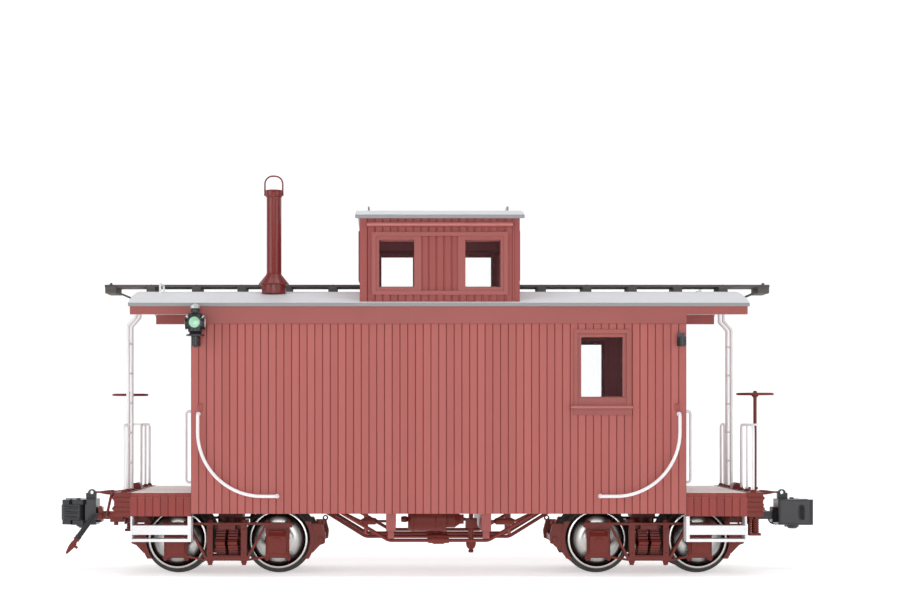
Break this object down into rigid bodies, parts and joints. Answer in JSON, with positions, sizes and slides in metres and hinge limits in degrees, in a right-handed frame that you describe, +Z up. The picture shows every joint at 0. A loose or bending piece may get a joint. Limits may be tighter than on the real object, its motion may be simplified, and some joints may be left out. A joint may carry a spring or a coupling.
{
  "type": "model railway caboose",
  "caption": "Model railway caboose with a cupola, end platforms, ladders, hand brakes, swivelling trucks and couplers.",
  "frame": {"origin": "centre of the footprint, on the plane through the lowest points of the wheel flanges", "axes": "+X along the track to the right end, +Y across the track to the far side, +Z up"},
  "size_m": [0.4184, 0.1372, 0.2167],
  "materials": {
    "underframe_red": "satin",
    "deck_pink": "satin",
    "body_red": "satin",
    "roof_grey": "satin",
    "walk_grey": "matte",
    "jack_red": "satin",
    "white_paint": "gloss",
    "coupler_black": "satin",
    "hose_rubber": "matte",
    "lamp_black": "gloss",
    "lens_green": "gloss",
    "window_glass": "gloss",
    "wheel_steel": "polished"
  },
  "bodies": {
    "car_body": {"underframe": "underframe_red", "needle_beams": "underframe_red", "truss_rods": "underframe_red", "end_sills": "underframe_red", "draft_gear": "underframe_red", "brake_cylinder": "underframe_red", "brake_rigging": "underframe_red", "train_pipe": "underframe_red", "floor": "deck_pink", "platforms": "deck_pink", "side_wall_near": "body_red", "side_wall_far": "body_red", "letterboards": "body_red", "end_walls": "body_red", "cupola_sides": "body_red", "cupola_ends": "body_red", "window_trim": "body_red", "end_brackets": "body_red", "main_roof": "roof_grey", "cupola_roof": "roof_grey", "running_boards": "walk_grey", "smoke_jack": "jack_red", "platform_steps": "white_paint", "ladders": "white_paint", "end_railings": "white_paint", "grab_irons": "white_paint", "gladhands": "underframe_red", "air_hoses": "hose_rubber", "marker_brackets": "lamp_black", "window_panes": "window_glass"},
    "door_right": {"door_right": "body_red"},
    "door_left": {"door_left": "body_red"},
    "cupola_sash_near_left": {"cupola_sash_near_left": "body_red"},
    "cupola_sash_near_right": {"cupola_sash_near_right": "body_red"},
    "cupola_sash_far_left": {"cupola_sash_far_left": "body_red"},
    "cupola_sash_far_right": {"cupola_sash_far_right": "body_red"},
    "coupler_left": {"coupler_left": "coupler_black"},
    "coupler_right": {"coupler_right": "coupler_black"},
    "knuckle_left": {"knuckle_left": "coupler_black"},
    "knuckle_right": {"knuckle_right": "coupler_black"},
    "cut_lever_left": {"cut_lever_left": "underframe_red"},
    "cut_lever_right": {"cut_lever_right": "underframe_red"},
    "brake_staff_left": {"brake_staff_left": "underframe_red"},
    "brake_staff_right": {"brake_staff_right": "underframe_red"},
    "wheelset_left_left": {"wheelset_left_left": "wheel_steel"},
    "wheelset_left_right": {"wheelset_left_right": "wheel_steel"},
    "wheelset_right_left": {"wheelset_right_left": "wheel_steel"},
    "wheelset_right_right": {"wheelset_right_right": "wheel_steel"},
    "marker_lamp_near": {"marker_lamp_near": "lamp_black", "marker_lenses_near": "lens_green"},
    "marker_lamp_far": {"marker_lamp_far": "lamp_black", "marker_lenses_far": "lens_green"},
    "truck_left": {"truck_frame_left": "underframe_red", "truck_bolster_left": "underframe_red", "truck_springs_left": "underframe_red", "truck_brakes_left": "underframe_red"},
    "truck_right": {"truck_frame_right": "underframe_red", "truck_bolster_right": "underframe_red", "truck_springs_right": "underframe_red", "truck_brakes_right": "underframe_red"}
  },
  "joints": [
    {"name": "truck_left_swivel", "type": "hinge", "parent": "car_body", "child": "truck_left", "pos_m": [-0.11445, 0, 0.0231], "axis": [0, 0, 1], "range_deg": [-6, 6]},
    {"name": "axle_left_left", "type": "hinge", "parent": "truck_left", "child": "wheelset_left_left", "pos_m": [-0.14198, 0, 0.0185], "axis": [0, 1, 0], "continuous": true},
    {"name": "axle_left_right", "type": "hinge", "parent": "truck_left", "child": "wheelset_left_right", "pos_m": [-0.08692, 0, 0.0185], "axis": [0, 1, 0], "continuous": true},
    {"name": "coupler_left_swing", "type": "hinge", "parent": "car_body", "child": "coupler_left", "pos_m": [-0.157, 0, 0.03045], "axis": [0, 0, 1], "range_deg": [-6, 6]},
    {"name": "knuckle_left_pin", "type": "hinge", "parent": "coupler_left", "child": "knuckle_left", "pos_m": [-0.1996, -0.0054, 0.03225], "axis": [0, 0, 1], "range_deg": [0, 35]},
    {"name": "cut_lever_left_turn", "type": "hinge", "parent": "car_body", "child": "cut_lever_left", "pos_m": [-0.1753, -0.024, 0.04325], "axis": [0, 1, 0], "range_deg": [0, 25]},
    {"name": "brake_staff_left_turn", "type": "hinge", "parent": "car_body", "child": "brake_staff_left", "pos_m": [-0.1743, 0.0205, 0.06], "axis": [0, 0, 1], "continuous": true},
    {"name": "door_left_swing", "type": "hinge", "parent": "car_body", "child": "door_left", "pos_m": [-0.1289, 0.0147, 0.0875], "axis": [0, 0, 1], "range_deg": [0, 95]},
    {"name": "truck_right_swivel", "type": "hinge", "parent": "car_body", "child": "truck_right", "pos_m": [0.11445, 0, 0.0231], "axis": [0, 0, 1], "range_deg": [-6, 6]},
    {"name": "axle_right_left", "type": "hinge", "parent": "truck_right", "child": "wheelset_right_left", "pos_m": [0.08692, 0, 0.0185], "axis": [0, 1, 0], "continuous": true},
    {"name": "axle_right_right", "type": "hinge", "parent": "truck_right", "child": "wheelset_right_right", "pos_m": [0.14198, 0, 0.0185], "axis": [0, 1, 0], "continuous": true},
    {"name": "coupler_right_swing", "type": "hinge", "parent": "car_body", "child": "coupler_right", "pos_m": [0.157, 0, 0.03045], "axis": [0, 0, 1], "range_deg": [-6, 6]},
    {"name": "knuckle_right_pin", "type": "hinge", "parent": "coupler_right", "child": "knuckle_right", "pos_m": [0.1996, 0.0054, 0.03225], "axis": [0, 0, 1], "range_deg": [0, 35]},
    {"name": "cut_lever_right_turn", "type": "hinge", "parent": "car_body", "child": "cut_lever_right", "pos_m": [0.1753, 0.024, 0.04325], "axis": [0, 1, 0], "range_deg": [-25, 0]},
    {"name": "brake_staff_right_turn", "type": "hinge", "parent": "car_body", "child": "brake_staff_right", "pos_m": [0.1743, -0.0205, 0.06], "axis": [0, 0, 1], "continuous": true},
    {"name": "door_right_swing", "type": "hinge", "parent": "car_body", "child": "door_right", "pos_m": [0.1289, -0.0147, 0.0875], "axis": [0, 0, 1], "range_deg": [0, 95]},
    {"name": "sash_near_left_slide", "type": "slide", "parent": "car_body", "child": "cupola_sash_near_left", "axis": [1, 0, 0], "range_m": [0, 0.01]},
    {"name": "sash_near_right_slide", "type": "slide", "parent": "car_body", "child": "cupola_sash_near_right", "axis": [1, 0, 0], "range_m": [-0.01, 0]},
    {"name": "sash_far_left_slide", "type": "slide", "parent": "car_body", "child": "cupola_sash_far_left", "axis": [1, 0, 0], "range_m": [0, 0.01]},
    {"name": "sash_far_right_slide", "type": "slide", "parent": "car_body", "child": "cupola_sash_far_right", "axis": [1, 0, 0], "range_m": [-0.01, 0]},
    {"name": "lamp_near_turn", "type": "hinge", "parent": "car_body", "child": "marker_lamp_near", "pos_m": [-0.1284, -0.063, 0.125], "axis": [0, 0, 1], "range_deg": [-90, 90]},
    {"name": "lamp_far_turn", "type": "hinge", "parent": "car_body", "child": "marker_lamp_far", "pos_m": [-0.1284, 0.063, 0.125], "axis": [0, 0, 1], "range_deg": [-90, 90]}
  ]
}
